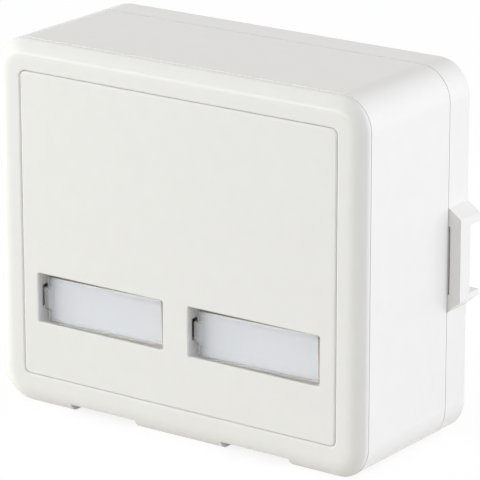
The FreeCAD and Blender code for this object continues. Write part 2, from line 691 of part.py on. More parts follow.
def add_hook(body, side, up):
    """A snap hook that holds the panel behind the cover's ledge, at its left or right edge."""
    leg_outer = f"({OPENING_WIDTH} / 2 - Sizes.ledge_reach - Sizes.hook_gap)"
    leg_inner = f"({leg_outer} - Sizes.hook_wall)"
    nose_outer = f"({leg_outer} + Sizes.hook_bite + Sizes.hook_gap)"
    nose_front = f"-({LEDGE_BACK} - Sizes.hook_gap)"
    nose_back = f"-({LEDGE_BACK} - Sizes.hook_gap - Sizes.hook_nose)"
    outer_end = f"({OPENING_HEIGHT} / 2 - Sizes.ledge_reach - Sizes.hook_inset)"
    low = f"{outer_end} - Sizes.hook_width" if up > 0 else f"-{outer_end}"
    profile = new_sketch(body, FLOOR, low)
    outline = [
        (leg_inner, f"-{BORDER_BACK}"),
        (leg_outer, f"-{BORDER_BACK}"),
        (leg_outer, nose_front),
        (nose_outer, nose_front),
        (leg_outer, nose_back),
        (leg_inner, nose_back),
    ]
    polygon(profile, [(f"{side} * {x}", y) for x, y in outline])
    pad(body, profile, "Sizes.hook_width")


def window_outline(sketch, side, width_change, height_change, radius):
    """An outline about one window's middle, larger or smaller than the window."""
    rounded_rectangle(
        sketch,
        f"{WINDOW_WIDTH} + {width_change}",
        f"Sizes.window_height + {height_change}",
        radius,
        f"{side} * {PITCH} / 2",
        "-Sizes.window_drop",
    )


def make_front_panel():
    """The panel: a plate with two label pockets, snapped into the cover from the front."""
    body = new_body("front_panel")
    plate = new_sketch(body, FRONT, BORDER_BACK)
    opening_outline(plate, "-Sizes.groove_gap")
    pad(body, plate, "Sizes.front_wall")

    tubs = new_sketch(body, FRONT, TUB_BACK)
    for side in (-1, 1):
        outer = "2 * Sizes.pocket_wall"
        window_outline(tubs, side, outer, outer, "Sizes.window_round + Sizes.pocket_wall")
    pad(body, tubs, "Sizes.pocket_depth + Sizes.pocket_floor - Sizes.front_wall")

    pockets = new_sketch(body, FRONT, POCKET_BACK)
    for side in (-1, 1):
        window_outline(pockets, side, "0", "0", "Sizes.window_round")
    cut(body, pockets, "Sizes.pocket_depth + Sizes.run_out")

    slots = new_sketch(body, FRONT, f"{TUB_BACK} - Sizes.run_out")
    for side in (-1, 1):
        end = f"({side} * {PITCH} / 2 + {WINDOW_LEFT})"
        low = "(-Sizes.window_drop - Sizes.lens_notch / 2)"
        inner = f"{end} + Sizes.prise_slot"
        rectangle(slots, f"{end} - Sizes.prise_undercut", inner, low, f"{low} + Sizes.lens_notch")
    cut(body, slots, f"{LENS_FACE} - {TUB_BACK} + Sizes.run_out")

    for side in (-1, 1):
        for up in (-1, 1):
            add_hook(body, side, up)

    depth = number("Sizes.depth")
    edge_height = number(OPENING_HEIGHT) / 2 - number("Sizes.groove_gap + Sizes.panel_round")
    edge_width = number(OPENING_WIDTH) / 2 - number("Sizes.groove_gap + Sizes.panel_round")
    pocket_edge = number(f"({PITCH} + {WINDOW_WIDTH}) / 2")

    def on_rim(box):
        beyond = max(-box.ZMin, box.ZMax) > edge_height or max(-box.XMin, box.XMax) > edge_width
        return at_depth(box, depth) and beyond

    def on_pocket(box):
        return at_depth(box, depth) and within(box.XMin, box.XMax, -pocket_edge, pocket_edge)

    dress(body, "Fillet", "Radius", "Sizes.groove_edge", on_rim)
    window_top = number("-Sizes.window_drop + Sizes.window_height / 2")
    dress(
        body,
        "Chamfer",
        "Size",
        "Sizes.pocket_edge",
        lambda box: on_pocket(box) and box.ZMax < window_top + 0.01 and box.ZMin > -edge_height,
    )
    return body


def make_label_card(side, name):
    """A paper label on the floor of its pocket."""
    body = new_body(f"label_card_{name}")
    card = new_sketch(body, FRONT, POCKET_BACK)
    centred_rectangle(
        card,
        f"{WINDOW_WIDTH} - 2 * Sizes.card_margin",
        "Sizes.window_height - 2 * Sizes.card_margin",
        f"{side} * {PITCH} / 2",
        "-Sizes.window_drop",
    )
    pad(body, card, "Sizes.card_thickness")
    return body


def make_label_lens(side, name):
    """A clear window over a label, bevelled all round and notched at its left end."""
    body = new_body(f"label_lens_{name}")
    middle = f"{side} * {PITCH} / 2"
    plate = new_sketch(body, FRONT, LENS_BACK)
    centred_rectangle(
        plate,
        f"{WINDOW_WIDTH} - 2 * Sizes.lens_gap",
        "Sizes.window_height - 2 * Sizes.lens_gap",
        middle,
        "-Sizes.window_drop",
    )
    pad(body, plate, "Sizes.lens_thickness")
    face = number(LENS_FACE)
    dress(body, "Chamfer", "Size", "Sizes.lens_bevel", lambda box: at_depth(box, face))

    left = f"({middle} + {WINDOW_LEFT} + Sizes.lens_gap)"
    low = "(-Sizes.window_drop - Sizes.lens_notch / 2)"
    notch = new_sketch(body, FRONT, f"{LENS_BACK} - Sizes.run_out")
    inner = f"{left} + Sizes.lens_notch_reach"
    rectangle(notch, f"{left} - Sizes.run_out", inner, low, f"{low} + Sizes.lens_notch")
    cut(body, notch, "Sizes.lens_thickness + 2 * Sizes.run_out")
    return body


def make_jack_housing(port, name):
    """A jack's housing: the socket in its face, a fixed hook in front and a springy latch behind."""
    body = new_body(f"jack_housing_{name}")
    block = new_sketch(body, FLOOR, FACE)
    half = f"{JACK_WIDTH} / 2"
    rectangle(block, f"{port} - {half}", f"{port} + {half}", NOSE_FRONT, NOSE_BACK)
    pad(body, block, "Sizes.jack_depth")

    plug = new_sketch(body, FLOOR, FACE)
    steps = [
        ("Sizes.socket_width / 2", SOCKET_BACK),
        ("Sizes.socket_width / 2", SOCKET_FRONT),
        ("Sizes.tab_width / 2", SOCKET_FRONT),
        ("Sizes.tab_width / 2", TAB_FRONT),
        ("Sizes.key_width / 2", TAB_FRONT),
        ("Sizes.key_width / 2", KEY_FRONT),
    ]
    right_half = [(f"{port} + {x}", y) for x, y in steps]
    left_half = [(f"{port} - {x}", y) for x, y in reversed(steps)]
    polygon(plug, right_half + left_half)
    cut(body, plug, "Sizes.socket_depth")

    comb = new_sketch(body, FLOOR, f"{COMB_END} - Sizes.carrier_gap")
    half = f"({COMB_WIDTH} / 2 + Sizes.carrier_gap)"
    back = f"{COMB_BACK} + Sizes.carrier_gap"
    rectangle(comb, f"{port} - {half}", f"{port} + {half}", SOCKET_BACK, back)
    cut(body, comb, "Sizes.comb_reach + Sizes.carrier_gap")

    pocket = new_sketch(body, FLOOR, SOCKET_END)
    half = f"{CARRIER_ROOM} / 2"
    front = f"{CARRIER_FRONT} - Sizes.carrier_gap"
    rectangle(pocket, f"{port} - {half}", f"{port} + {half}", front, back)
    cut(body, pocket, "Sizes.jack_depth - Sizes.socket_depth + Sizes.run_out")

    hook_low = f"{PLATE_TOP} + Sizes.latch_gap"
    hook_front = f"{NOSE_FRONT} - Sizes.nose_hook"
    hook = new_sketch(body, SIDE, f"{port} - Sizes.latch_width / 2")
    polygon(
        hook,
        [
            (NOSE_FRONT, hook_low),
            (hook_front, hook_low),
            (hook_front, f"{hook_low} + Sizes.nose_hook_height / 2"),
            (NOSE_FRONT, f"{hook_low} + Sizes.nose_hook_height"),
        ],
    )
    pad(body, hook, "Sizes.latch_width")

    shoulder = f"{CATCH} - Sizes.latch_gap"
    arm_outer = f"{CATCH_FRONT} - Sizes.latch_gap"
    arm_inner = f"{arm_outer} - Sizes.latch_wall"
    arm_top = f"{FRAME_TOP} + Sizes.latch_pad"
    latch = new_sketch(body, SIDE, f"{port} - Sizes.latch_width / 2")
    polygon(
        latch,
        [
            (NOSE_BACK, hook_low),
            (f"{NOSE_BACK} + Sizes.latch_wall", hook_low),
            (f"{LATCH_BACK} - Sizes.latch_gap", shoulder),
            (arm_outer, shoulder),
            (arm_outer, arm_top),
            (arm_inner, arm_top),
            (arm_inner, f"{shoulder} - Sizes.latch_wall"),
            (NOSE_BACK, f"{hook_low} + 2 * Sizes.latch_wall"),
        ],
    )
    pad(body, latch, "Sizes.latch_width")

    face = number(FACE)
    middle = number(port)
    reach = number("Sizes.socket_width") / 2
    dress(
        body,
        "Chamfer",
        "Size",
        "Sizes.socket_edge",
        lambda box: at_height(box, face) and within(box.XMin, box.XMax, middle - reach, middle + reach),
    )
    return body


def first_wire(port):
    """The middle of the leftmost contact wire."""
    return f"{port} - (Sizes.wire_count - 1) * Sizes.wire_pitch / 2"


def make_contact_carrier(port, name):
    """The block that closes the socket, with a grooved comb that the contact wires lie in."""
    body = new_body(f"contact_carrier_{name}")
    block = new_sketch(body, FLOOR, SOCKET_END)
    half = f"({CARRIER_ROOM} / 2 - Sizes.carrier_gap)"
    rectangle(block, f"{port} - {half}", f"{port} + {half}", CARRIER_FRONT, COMB_BACK)
    pad(body, block, "Sizes.jack_depth - Sizes.socket_depth")

    comb = new_sketch(body, FLOOR, COMB_END)
    half = f"{COMB_WIDTH} / 2"
    rectangle(comb, f"{port} - {half}", f"{port} + {half}", SOCKET_BACK, COMB_BACK)
    pad(body, comb, "Sizes.comb_reach")

    groove = new_sketch(body, FLOOR, COMB_END)
    half = "(Sizes.wire_width / 2 + Sizes.groove_side)"
    middle = first_wire(port)
    rectangle(groove, f"{middle} - {half}", f"{middle} + {half}", SOCKET_BACK, WIRE_BACK)
    first = cut(body, groove, f"{BOARD} - {COMB_END}")
    repeat_across(body, [first], "Sizes.wire_count", "Sizes.wire_pitch")
    return body


def make_contact_wires(port, name):
    """The contact wires: down the comb, round a bend, and out into the socket as springs."""
    body = new_body(f"contact_wires_{name}", several=True)
    toe = f"({COMB_END} + Sizes.wire_toe)"
    slope = "(Sizes.wire_swing / Sizes.wire_climb)"
    tip = f"{toe} + Sizes.wire_thickness + Sizes.wire_climb"
    profile = new_sketch(body, SIDE, f"{first_wire(port)} - Sizes.wire_width / 2")
    polygon(
        profile,
        [
            (WIRE_BACK, BOARD),
            (WIRE_FRONT, BOARD),
            (WIRE_FRONT, f"{toe} + Sizes.wire_thickness"),
            (f"{WIRE_FRONT} - Sizes.wire_swing", tip),
            (f"{WIRE_FRONT} - Sizes.wire_swing - Sizes.wire_thickness", tip),
            (f"{WIRE_FRONT} - Sizes.wire_thickness * (1 - {slope})", toe),
            (WIRE_BACK, toe),
        ],
    )
    first = pad(body, profile, "Sizes.wire_width")
    repeat_across(body, [first], "Sizes.wire_count", "Sizes.wire_pitch")
    return body


def make_circuit_board(port, name):
    body = new_body(f"circuit_board_{name}")
    board = new_sketch(body, FLOOR, BOARD)
    centred_rectangle(board, BOARD_WIDTH, BOARD_HEIGHT, port, JACK_Y)
    pad(body, board, "Sizes.board_thickness")
    return body


def first_terminal(port):
    """The middle of the leftmost terminals."""
    return f"{port} - ({ROW_COUNT} - 1) * Sizes.terminal_pitch / 2"


def make_terminal_block(port, name):
    """The terminal block: two rows of towers, slotted for a wire and for the blade that bites it."""
    body = new_body(f"terminal_block_{name}")
    foot = new_sketch(body, FLOOR, BLOCK)
    centred_rectangle(foot, BLOCK_WIDTH, BLOCK_HEIGHT, port, JACK_Y)
    pad(body, foot, "Sizes.block_foot")

    rows = new_sketch(body, FLOOR, TOWERS)
    for y in ROWS_Y:
        centred_rectangle(rows, ROW_WIDTH, "Sizes.tower_height", port, y)
    pad(body, rows, "Sizes.tower_rise")

    x = first_terminal(port)
    wire = "Sizes.terminal_slot / 2"
    row_edge = "Sizes.tower_height / 2"
    blade = "(Sizes.blade_width / 2 + Sizes.blade_gap)"
    blade_edge = "(Sizes.blade_thickness / 2 + Sizes.blade_gap)"
    quarter = [(wire, row_edge), (wire, blade_edge), (blade, blade_edge)]
    slot = new_sketch(body, FLOOR, TERMINALS)
    for y in ROWS_Y:
        cross = [(f"{x} + {dx}", f"{y} + {dy}") for dx, dy in quarter]
        cross += [(f"{x} + {dx}", f"{y} - {dy}") for dx, dy in reversed(quarter)]
        cross += [(f"{x} - {dx}", f"{y} - {dy}") for dx, dy in quarter]
        cross += [(f"{x} - {dx}", f"{y} + {dy}") for dx, dy in reversed(quarter)]
        polygon(slot, cross)
    first = cut(body, slot, "Sizes.blade_rise + Sizes.run_out")
    repeat_across(body, [first], ROW_COUNT, "Sizes.terminal_pitch")
    return body


def make_terminal_blades(port, name):
    """The forked blades that bite through a wire's insulation, one in each terminal."""
    body = new_body(f"terminal_blades_{name}", several=True)
    x = first_terminal(port)
    outer = "Sizes.blade_width / 2"
    inner = "Sizes.blade_slot / 2"
    top = f"{TERMINALS} + Sizes.blade_rise"
    root = f"{TERMINALS} + Sizes.blade_root"
    blades = []
    for y in ROWS_Y:
        fork = new_sketch(body, FRONT, f"-{y} - Sizes.blade_thickness / 2")
        polygon(
            fork,
            [
                (f"{x} - {outer}", TERMINALS),
                (f"{x} + {outer}", TERMINALS),
                (f"{x} + {outer}", top),
                (f"{x} + {inner}", top),
                (f"{x} + {inner}", root),
                (f"{x} - {inner}", root),
                (f"{x} - {inner}", top),
                (f"{x} - {outer}", top),
            ],
        )
        blades.append(pad(body, fork, "Sizes.blade_thickness"))
    repeat_across(body, blades, ROW_COUNT, "Sizes.terminal_pitch")
    return body


def make_terminal_cap(port, name):
    """The dust cap over the terminals, with an outlet in its skirt for each wire."""
    body = new_body(f"terminal_cap_{name}")
    inner_width = f"({ROW_WIDTH} + 2 * Sizes.cap_gap)"
    inner_height = f"({TOWER_SPACING} + Sizes.tower_height + 2 * Sizes.cap_gap)"
    outer_height = f"{inner_height} + 2 * Sizes.cap_wall"
    shell = new_sketch(body, FLOOR, CAP_LOW)
    centred_rectangle(shell, f"{inner_width} + 2 * Sizes.cap_wall", outer_height, port, JACK_Y)
    pad(body, shell, f"{CAP_ROOF} - {CAP_LOW} + Sizes.cap_roof")

    hollow = new_sketch(body, FLOOR, CAP_LOW)
    centred_rectangle(hollow, inner_width, inner_height, port, JACK_Y)
    cut(body, hollow, f"{CAP_ROOF} - {CAP_LOW}")

    outlet = new_sketch(body, FLOOR, CAP_LOW)
    centred_rectangle(outlet, "Sizes.cap_outlet", outer_height, first_terminal(port), JACK_Y)
    first = cut(body, outlet, "Sizes.cap_outlet_rise")
    repeat_across(body, [first], ROW_COUNT, "Sizes.terminal_pitch")

    top = number(f"{CAP_ROOF} + Sizes.cap_roof")
    dress(body, "Chamfer", "Size", "Sizes.cap_edge", lambda box: at_height(box, top))
    return body


pieces = [make_base(), make_cover(), make_front_panel()]
for side, name in ((-1, "left"), (1, "right")):
    port = f"({side} * {PITCH} / 2)"
    pieces.append(make_label_card(side, name))
    pieces.append(make_label_lens(side, name))
    pieces.append(make_jack_housing(port, name))
    pieces.append(make_contact_carrier(port, name))
    pieces.append(make_contact_wires(port, name))
    pieces.append(make_circuit_board(port, name))
    pieces.append(make_terminal_block(port, name))
    pieces.append(make_terminal_blades(port, name))
    pieces.append(make_terminal_cap(port, name))

doc.recompute()
for item in doc.Objects:
    if "Invalid" in item.State or "Error" in item.State:
        raise RuntimeError(f"{item.Label} did not compute: {item.State}")

os.makedirs("parts", exist_ok=True)
for piece in pieces:
    if piece.Shape.isNull() or not piece.Shape.isValid():
        raise RuntimeError(f"{piece.Label} has no valid shape")
    piece.Shape.exportStep(f"parts/{piece.Label}.step")
    print(piece.Label, len(piece.Shape.Solids), "solids", round(piece.Shape.Volume, 2), "mm3")
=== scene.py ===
# %% [markdown]
# # A surface mount jack box
#
# The box screws to a wall and brings two data cables to two sockets that face down. A base sits
# against the wall, a cover slides over it, and a flat panel with two label windows snaps into the
# cover's front. The frame is loaded first: it holds every rigid piece at its real size, in metres,
# and nothing here moves or resizes it.

# %% Load the frame
import math

import bpy
import numpy as np
from mathutils import Matrix, Vector


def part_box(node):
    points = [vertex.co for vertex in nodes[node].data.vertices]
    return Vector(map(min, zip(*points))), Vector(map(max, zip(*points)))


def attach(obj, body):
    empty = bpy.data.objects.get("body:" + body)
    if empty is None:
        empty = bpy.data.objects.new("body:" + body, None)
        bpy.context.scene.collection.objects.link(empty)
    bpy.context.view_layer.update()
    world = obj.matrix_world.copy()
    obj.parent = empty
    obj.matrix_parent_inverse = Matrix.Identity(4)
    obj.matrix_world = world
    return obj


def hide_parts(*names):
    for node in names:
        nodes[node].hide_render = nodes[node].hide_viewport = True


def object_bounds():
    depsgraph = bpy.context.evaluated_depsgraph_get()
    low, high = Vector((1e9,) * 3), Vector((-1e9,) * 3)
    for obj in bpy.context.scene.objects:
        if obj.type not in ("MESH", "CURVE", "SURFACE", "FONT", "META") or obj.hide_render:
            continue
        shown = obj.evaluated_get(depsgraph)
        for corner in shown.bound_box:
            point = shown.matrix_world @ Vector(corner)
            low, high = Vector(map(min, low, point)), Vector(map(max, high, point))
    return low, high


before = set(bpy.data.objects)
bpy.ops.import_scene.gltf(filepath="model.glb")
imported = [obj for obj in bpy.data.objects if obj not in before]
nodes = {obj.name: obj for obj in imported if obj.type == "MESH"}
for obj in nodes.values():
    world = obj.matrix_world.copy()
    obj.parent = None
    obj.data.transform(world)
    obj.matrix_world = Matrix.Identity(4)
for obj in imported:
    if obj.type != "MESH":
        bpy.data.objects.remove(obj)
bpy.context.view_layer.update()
MM = 0.001


# %% [markdown]
# ## Where the photograph was taken from
#
# The photograph was taken from the box's front right, a little above it. A camera could be dragged
# about until the outlines meet. Here two angles were worked out from the case's corners, the
# panel's groove and the two windows, and one function turns them into the directions that count as
# right, up and forward.

# %% Directions of the view
VIEW_AZIMUTH = math.radians(35.835)
VIEW_ELEVATION = math.radians(17.137)


def camera_axes(azimuth, elevation):
    """Right, up and forward of a camera that looks at the front from an azimuth and an elevation.

    forward = (-sin a cos e, cos a cos e, -sin e), right = (cos a, sin a, 0), up = right x forward.
    """
    forward = Vector(
        (
            -math.sin(azimuth) * math.cos(elevation),
            math.cos(azimuth) * math.cos(elevation),
            -math.sin(elevation),
        )
    )
    right = Vector((math.cos(azimuth), math.sin(azimuth), 0.0))
    return right, right.cross(forward), forward


view_right, view_up, view_forward = camera_axes(VIEW_AZIMUTH, VIEW_ELEVATION)
print("the view runs along", [round(value, 3) for value in view_forward])

# %% [markdown]
# ## The camera
#
# The edges that run to the back barely converge, so the camera stood well back with a long lens. In
# the picture the case lies a little left of the middle and above it, so the camera is aimed a
# little right of the case's middle and below it. A constraint that tracks an empty would turn it
# too, but a matrix made from three directions says the same and leaves nothing else in the scene.

# %% Camera
VIEW_ROLL = math.radians(-0.13)
VIEW_DISTANCE = 649.97 * MM
LENS_MM = 273.07
SENSOR_MM = 36.0
CASE_MIDDLE = Vector((0.0, -17.0, 0.7)) * MM
AIM_RIGHT = 2.478 * MM
AIM_DOWN = 1.658 * MM


def new_object(name, data):
    """A new object in the scene, which holds a mesh, a lamp or a camera."""
    made = bpy.data.objects.new(name, data)
    bpy.context.scene.collection.objects.link(made)
    return made


def place_camera():
    """A camera VIEW_DISTANCE from the case's middle, aimed beside it.

    look = aim - stand, side = look x up and top = side x look, each of length 1. The camera's own
    axes are side, top and -look, rolled about the last by VIEW_ROLL.
    """
    stand = CASE_MIDDLE - view_forward * VIEW_DISTANCE
    aim = CASE_MIDDLE + view_right * AIM_RIGHT - view_up * AIM_DOWN
    look = (aim - stand).normalized()
    side = look.cross(view_up).normalized()
    top = side.cross(look)
    turn = Matrix((side, top, -look)).transposed() @ Matrix.Rotation(VIEW_ROLL, 3, "Z")
    data = bpy.data.cameras.new("camera")
    data.lens = LENS_MM
    data.sensor_width = SENSOR_MM
    camera = new_object("camera", data)
    camera.matrix_world = Matrix.Translation(stand) @ turn.to_4x4()
    bpy.context.scene.camera = camera
    return camera


print("camera stands at", [round(value, 4) for value in place_camera().location])
bpy.context.scene.view_settings.view_transform = "Standard"

# %% [markdown]
# ## Colours and nodes
#
# A colour is written as the hex value that a paint chart gives, which is meant for a screen. The
# renderer works with linear light, in which twice the number is twice the light, so one function
# turns a hex value to linear. A material is a small graph of nodes. It could be drawn by hand in
# the editor, but a script can be read line by line. A second function adds one node, sets it up and
# links it, and every material below is made with it.

# %% Colour and node helpers
def linear(hex_color):
    """A #rrggbb colour as linear light with an alpha of 1.

    Each channel c in 0 to 1 becomes c / 12.92 up to 0.04045, and ((c + 0.055) / 1.055)^2.4 above.
    """
    channels = np.array([int(hex_color[start : start + 2], 16) for start in (1, 3, 5)]) / 255
    low = channels / 12.92
    high = ((channels + 0.055) / 1.055) ** 2.4
    return (*(float(value) for value in np.where(channels <= 0.04045, low, high)), 1.0)


def add(tree, kind, inputs=None, **settings):
    """Adds a node of a kind with its settings. An input gets a link from an output, or a value."""
    node = tree.nodes.new("ShaderNode" + kind)
    for name, value in settings.items():
        setattr(node, name, value)
    for name, value in (inputs or {}).items():
        if isinstance(value, bpy.types.NodeSocket):
            tree.links.new(value, node.inputs[name])
        else:
            node.inputs[name].default_value = value
    return node


def new_material(name):
    """An empty node material, its tree and its output node."""
    material = bpy.data.materials.new(name)
    material.use_nodes = True
    tree = material.node_tree
    tree.nodes.clear()
    return material, tree, add(tree, "OutputMaterial")


print("mid grey #808080 in linear light:", round(linear("#808080")[0], 3))

# %% [markdown]
# ## Uneven colour
#
# No real plastic or paper has quite the same colour all over, and one that has looks painted by a
# computer. A picture of the material wrapped round the piece would show it, but the piece needs to
# be unwrapped for that, and the picture repeats. A noise in the piece's own space doesn't repeat,
# and it stays on the piece when it moves. A noise hardly ever leaves the stretch from 0.3 to 0.7,
# so that stretch is spread over the whole range of shades.

# %% Uneven colour
NOISE_SPAN = {"From Min": 0.3, "From Max": 0.7}


def uneven_color(tree, color, noise, darkest):
    """A colour times a factor that runs from darkest to 1 with the noise."""
    shades = {"Value": noise.outputs["Fac"], **NOISE_SPAN, "To Min": darkest, "To Max": 1.0}
    factor = add(tree, "MapRange", shades).outputs["Result"]
    product = {0: 1.0, "A": linear(color), "B": factor}
    tint = add(tree, "Mix", product, data_type="RGBA", blend_type="MULTIPLY")
    return tint.outputs["Result"]


print("noise read from", NOISE_SPAN["From Min"], "to", NOISE_SPAN["From Max"])

# %% [markdown]
# ## Moulded plastic
#
# Every plastic piece is injection moulded, so one function makes them all. A mould leaves three
# faint things: a fine grain from its polished steel, slow waves where the plastic shrank as it
# cooled, and a mottle of one or two percent where the pigment isn't quite even. The grain and the
# waves could be real bumps in the mesh, but they are so shallow that a Bump node looks the same:
# the face stays smooth and only takes the light as if it were tilted. The real grain, of about
# 0.05 mm, is finer than a pixel of the picture, so it is drawn at 0.25 mm and only a thousandth of
# a millimetre high.

# %% Moulded plastics
GRAIN = 0.25 * MM
GRAIN_HEIGHT = 0.001 * MM
GRAIN_GLOSS = 0.02  # how far the grain moves the roughness
MOTTLE = 3 * MM
MOTTLE_DARKEST = 0.985  # its darkest shade as a share of the colour
WAVES = 22 * MM
WAVE_HEIGHT = 0.012 * MM


def moulded_plastic(name, color, roughness, ior=1.53):
    """Moulded plastic: a colour with a faint mottle, over slow waves and a fine grain in the skin.

    The grain also moves the roughness by up to GRAIN_GLOSS either way.
    """
    material, tree, output = new_material(name)
    place = add(tree, "TexCoord").outputs["Object"]
    mottle = add(tree, "TexNoise", {"Vector": place, "Scale": 1 / MOTTLE, "Detail": 3.0})
    waves = add(tree, "TexNoise", {"Vector": place, "Scale": 1 / WAVES, "Detail": 1.0})
    grain = add(tree, "TexNoise", {"Vector": place, "Scale": 1 / GRAIN, "Detail": 2.0})
    span = {**NOISE_SPAN, "To Min": roughness - GRAIN_GLOSS, "To Max": roughness + GRAIN_GLOSS}
    gloss = add(tree, "MapRange", {"Value": grain.outputs["Fac"], **span})
    slow = add(tree, "Bump", {"Height": waves.outputs["Fac"], "Distance": WAVE_HEIGHT})
    relief = {"Height": grain.outputs["Fac"], "Distance": GRAIN_HEIGHT}
    fine = add(tree, "Bump", {**relief, "Normal": slow.outputs["Normal"]})
    look = {
        "Base Color": uneven_color(tree, color, mottle, MOTTLE_DARKEST),
        "Roughness": gloss.outputs["Result"],
        "IOR": ior,
        "Normal": fine.outputs["Normal"],
    }
    surface = add(tree, "BsdfPrincipled", look)
    tree.links.new(surface.outputs["BSDF"], output.inputs["Surface"])
    return material


print("grain drawn at", GRAIN / MM, "mm, waves at", WAVES / MM, "mm")

# %% [markdown]
# ## The case
#
# The base, cover and panel are moulded in ABS, a tough glossy plastic, in the warm white that
# electricians know as pure white. The photograph shows soft clean highlights and a faint mirror
# image of the side lug in the cover's wall, so the mould was polished and the roughness is low. An
# IOR of 1.53 is what ABS has. Light enters such plastic a little way, and the shader can follow it
# there, but on walls this thick that changes the picture very little and doubles its time, so the
# light stops at the skin. All three pieces share one material, because they come from one batch.

# %% Case
def give_finish(piece, material):
    """Gives one piece of the frame one material."""
    nodes[piece].data.materials.clear()
    nodes[piece].data.materials.append(material)
    print(f"{piece}: {material.name}")


case_plastic = moulded_plastic("pure_white_abs", "#efeeea", roughness=0.15)
for piece in ("base", "cover", "front_panel"):
    give_finish(piece, case_plastic)

# %% [markdown]
# ## The clear windows
#
# Each label lies under a clear window moulded in styrene, which is clearer and glossier than most
# plastics and bends light more, with an IOR of about 1.57. It has ripples that are barely deep
# enough to see. A window that casts a full shadow would need the light that it bends onto the label
# to be traced, which is slow and noisy. The real window dims the label very little, so shadow rays
# pass through it here with a small loss.

# %% Clear styrene
STYRENE_IOR = 1.57
RIPPLES = 6 * MM
RIPPLE_HEIGHT = 0.02 * MM


def let_light_through(tree, surface, output):
    """Shows a surface to every ray but a shadow ray, which passes with hardly any loss."""
    clear = add(tree, "BsdfTransparent", {"Color": linear("#f6f6f7")})
    shadow = add(tree, "LightPath").outputs["Is Shadow Ray"]
    either = {0: shadow, 1: surface.outputs["BSDF"], 2: clear.outputs["BSDF"]}
    both = add(tree, "MixShader", either)
    tree.links.new(both.outputs["Shader"], output.inputs["Surface"])


def clear_styrene(name):
    """Clear moulded styrene: glossy, with ripples that hardly show."""
    material, tree, output = new_material(name)
    place = add(tree, "TexCoord").outputs["Object"]
    ripples = add(tree, "TexNoise", {"Vector": place, "Scale": 1 / RIPPLES, "Detail": 2.0})
    bump = add(tree, "Bump", {"Height": ripples.outputs["Fac"], "Distance": RIPPLE_HEIGHT})
    look = {
        "Base Color": linear("#fafafb"),
        "Roughness": 0.06,
        "IOR": STYRENE_IOR,
        "Transmission Weight": 1.0,
        "Normal": bump.outputs["Normal"],
    }
    let_light_through(tree, add(tree, "BsdfPrincipled", look), output)
    return material


window_clear = clear_styrene("clear_styrene")
print("windows:", window_clear.name, "with an IOR of", STYRENE_IOR)

# %% [markdown]
# ## The windows' edges
# The mould is polished for the window's face and not for its edge, so the edge is matt. The fine
# dark line that the edge and the shaded gap beside it show is painted shade: the clear plastic with
# a high roughness would be as pale as the window itself, so half of the edge is opaque, in a grey
# brown of painted shade that a noise makes darker and lighter in patches, and the other half lets
# light through in that tint.

# %% Window edge with painted shade
# size of the patches in which the edge's painted shade is darker and lighter
EDGE_SHADE_PATCHES = 0.8 * MM


def matt_edge_painted_shade(name):
    """The window's edge: matt and half clear, in two grey browns of painted shade in patches."""
    material, tree, output = new_material(name)
    place = add(tree, "TexCoord").outputs["Object"]
    # a noise that picks between the two grey browns of painted shade below
    marks = add(tree, "TexNoise", {"Vector": place, "Scale": 1 / EDGE_SHADE_PATCHES, "Detail": 3.0})
    # two grey browns of painted shade, for the dark line of the shaded gap beside the edge
    shades = {0: marks.outputs["Fac"], "A": linear("#8f8576"), "B": linear("#b9b2a6")}
    look = {
        "Base Color": add(tree, "Mix", shades, data_type="RGBA").outputs["Result"],
        "Roughness": 0.6,
        "IOR": STYRENE_IOR,
        "Transmission Weight": 0.5,
    }
    let_light_through(tree, add(tree, "BsdfPrincipled", look), output)
    return material


# the windows' walls: matt, with painted shade for the gap beside them
edge_painted_shade = matt_edge_painted_shade("matt_styrene_painted_shade")
print("edges:", edge_painted_shade.name, "with marks of", EDGE_SHADE_PATCHES / MM, "mm")

# %% [markdown]
# ## The labels
#
# Each label is a blank strip of plain office paper. Paper is matt, and its fibres run every way and
# shade it a little. Single fibres are far too fine to show, so the noise is drawn at the size of
# the clumps they form, under a millimetre, and pulled out of shape so that the clumps aren't round.

# %% Paper
FIBRE_CLUMPS = 0.7 * MM
FIBRE_HEIGHT = 0.02 * MM
FIBRE_DARKEST = 0.95


def office_paper(name, color):
    """Uncoated paper: matt, with fibres that run every way."""
    material, tree, output = new_material(name)
    place = add(tree, "TexCoord").outputs["Object"]
    clumps = {"Scale": 1 / FIBRE_CLUMPS, "Detail": 5.0, "Distortion": 1.5}
    fibres = add(tree, "TexNoise", {"Vector": place, **clumps})
    bump = add(tree, "Bump", {"Height": fibres.outputs["Fac"], "Distance": FIBRE_HEIGHT})
    look = {
        "Base Color": uneven_color(tree, color, fibres, FIBRE_DARKEST),
        "Roughness": 0.85,
        "Normal": bump.outputs["Normal"],
    }
    surface = add(tree, "BsdfPrincipled", look)
    tree.links.new(surface.outputs["BSDF"], output.inputs["Surface"])
    return material


SIDES = ("left", "right")
label_paper = office_paper("office_paper", "#cdcecf")
for side in SIDES:
    give_finish(f"label_card_{side}", label_paper)

# %% [markdown]
# ## Where the windows lie
#
# A window is smaller than its pocket. In the photograph the gap is widest at its left end, where
# the pocket's wall has a dark slot for prising the window out, and narrow on the other sides. The
# corners could be written as plain places, but then they wouldn't follow the pocket. So the
# pocket's walls are worked out from the frame's own plain window, which stops CAD_WINDOW_GAP short
# of each, and the gaps are measured from them.

# %% The windows' corners
CAD_WINDOW_GAP = 0.2 * MM
WINDOW_LEFT_GAP = 1.8 * MM
WINDOW_RIGHT_GAP = 0.65 * MM
WINDOW_HEIGHT_GAP = 0.38 * MM  # above it and below it
WINDOW_SUNK = 0.4 * MM


